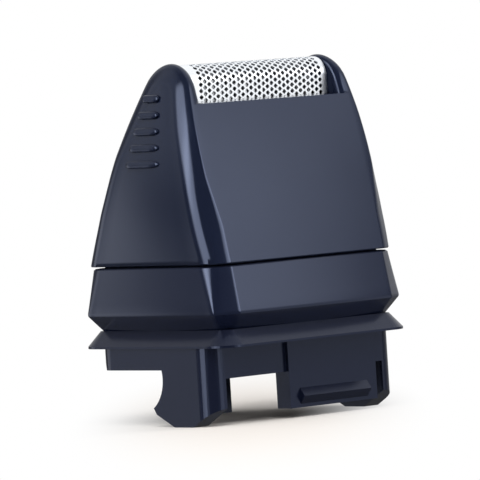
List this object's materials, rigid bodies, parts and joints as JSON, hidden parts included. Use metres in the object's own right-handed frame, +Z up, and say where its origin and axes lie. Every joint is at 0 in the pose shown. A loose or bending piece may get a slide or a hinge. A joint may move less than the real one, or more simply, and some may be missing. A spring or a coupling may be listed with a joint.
{
  "type": "foil shaver head",
  "caption": "Clip-on foil shaver head: tapered cap with an arched perforated foil over a floating cutter, on a flared base with coupling legs.",
  "frame": {"origin": "centre of the footprint, at the level of the feet of the coupling legs", "axes": "+X along the foil, -Y is the front face, +Z up towards the foil"},
  "size_m": [0.0286, 0.0248, 0.04],
  "materials": {
    "cap_plastic": "glossy moulded",
    "base_plastic": "glossy moulded",
    "coupling_plastic": "satin moulded",
    "inner_plastic": "matt moulded",
    "foil_steel": "bright etched",
    "blade_steel": "ground",
    "rod_steel": "polished",
    "spring_steel": "drawn",
    "screw_steel": "zinc plated"
  },
  "bodies": {
    "base": {"base_housing": "base_plastic", "coupling_plate": "coupling_plastic", "guide_rod_front": "rod_steel", "guide_rod_rear": "rod_steel", "housing_screws": "screw_steel"},
    "cap": {"foil_frame": "cap_plastic", "shaving_foil": "foil_steel", "foil_clamp_front": "inner_plastic", "foil_clamp_rear": "inner_plastic"},
    "drive": {"drive_bridge": "inner_plastic", "cutter_spring_left": "spring_steel", "cutter_spring_right": "spring_steel"},
    "cutter": {"cutter_carrier": "inner_plastic", "cutter_blade_01": "blade_steel", "cutter_blade_02": "blade_steel", "cutter_blade_03": "blade_steel", "cutter_blade_04": "blade_steel", "cutter_blade_05": "blade_steel", "cutter_blade_06": "blade_steel", "cutter_blade_07": "blade_steel", "cutter_blade_08": "blade_steel", "cutter_blade_09": "blade_steel", "cutter_blade_10": "blade_steel", "cutter_blade_11": "blade_steel", "cutter_blade_12": "blade_steel", "cutter_blade_13": "blade_steel", "cutter_blade_14": "blade_steel"}
  },
  "joints": [
    {"name": "cap_lift", "type": "slide", "parent": "base", "child": "cap", "axis": [0, 0, 1], "range_m": [0, 0.024]},
    {"name": "drive_slide", "type": "slide", "parent": "base", "child": "drive", "axis": [1, 0, 0], "range_m": [-0.0012, 0.0012]},
    {"name": "cutter_float", "type": "slide", "parent": "drive", "child": "cutter", "axis": [0, 0, 1], "range_m": [-0.0008, 0], "stiffness_N_per_m": 150, "springref_m": 0.003, "deforming": ["cutter_spring_left", "cutter_spring_right"]}
  ]
}
